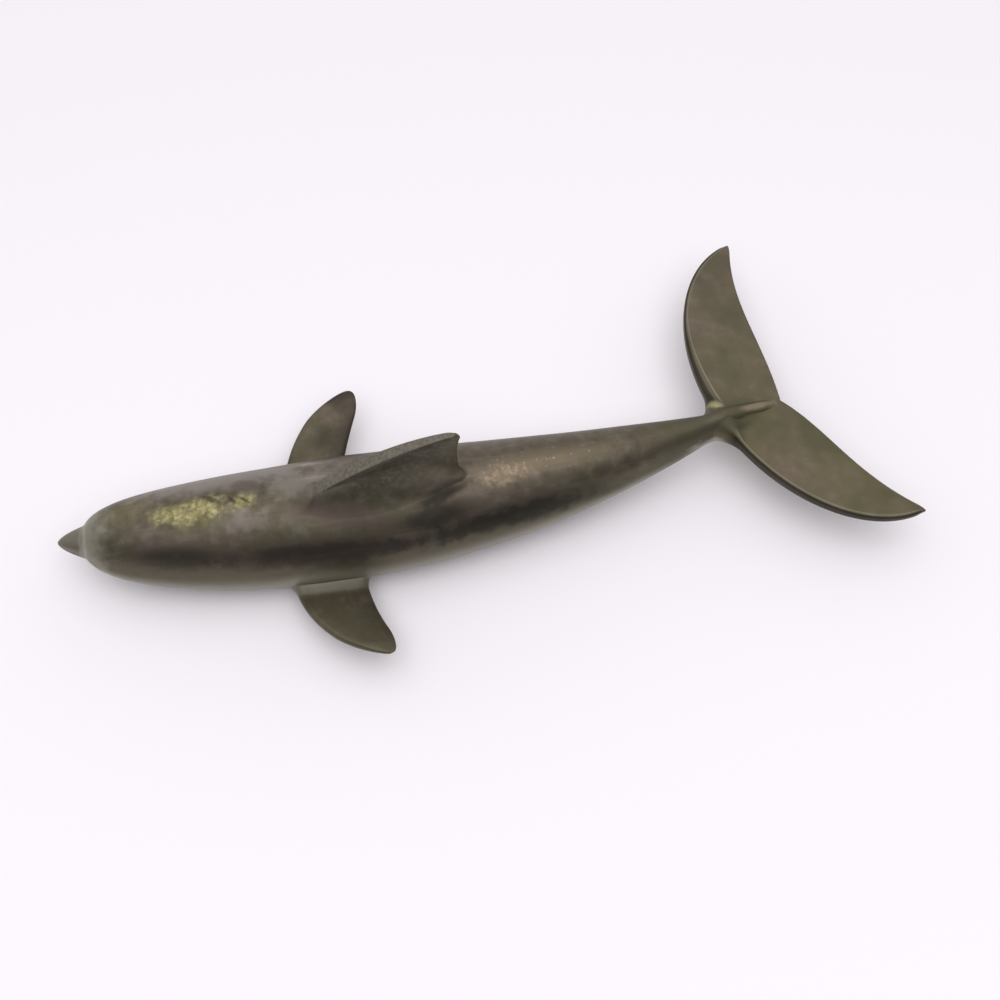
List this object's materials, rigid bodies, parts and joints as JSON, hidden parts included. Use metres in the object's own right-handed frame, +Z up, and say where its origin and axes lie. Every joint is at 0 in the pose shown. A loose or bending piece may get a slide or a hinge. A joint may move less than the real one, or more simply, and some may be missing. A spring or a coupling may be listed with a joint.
{
  "type": "dolphin figurine",
  "caption": "Dolphin ornament in aged cast brass, bowed to one side in a level swim, hollow and brazed along its midline, resting on a flat on its belly.",
  "frame": {"origin": "middle of the flat on the belly, on the midline, at the height of the surface it rests on", "axes": "+X forward to the beak along the body above the rest, +Y to the dolphin's left, +Z up"},
  "size_m": [0.1455, 0.0691, 0.0316],
  "materials": {
    "body_brass": "cast, filed smooth and aged to a satin olive brown patina",
    "fin_brass": "cast, file marks left along the edges, aged olive brown",
    "braze": "filed flush, worn bright in places"
  },
  "bodies": {
    "root": {"left_body_half": "body_brass", "right_body_half": "body_brass", "beak": "fin_brass", "dorsal_fin": "fin_brass", "left_pectoral_fin": "fin_brass", "right_pectoral_fin": "fin_brass", "tail_flukes": "fin_brass", "head_seam_braze": "braze", "stock_seam_braze": "braze", "belly_seam_braze": "braze"}
  },
  "joints": []
}
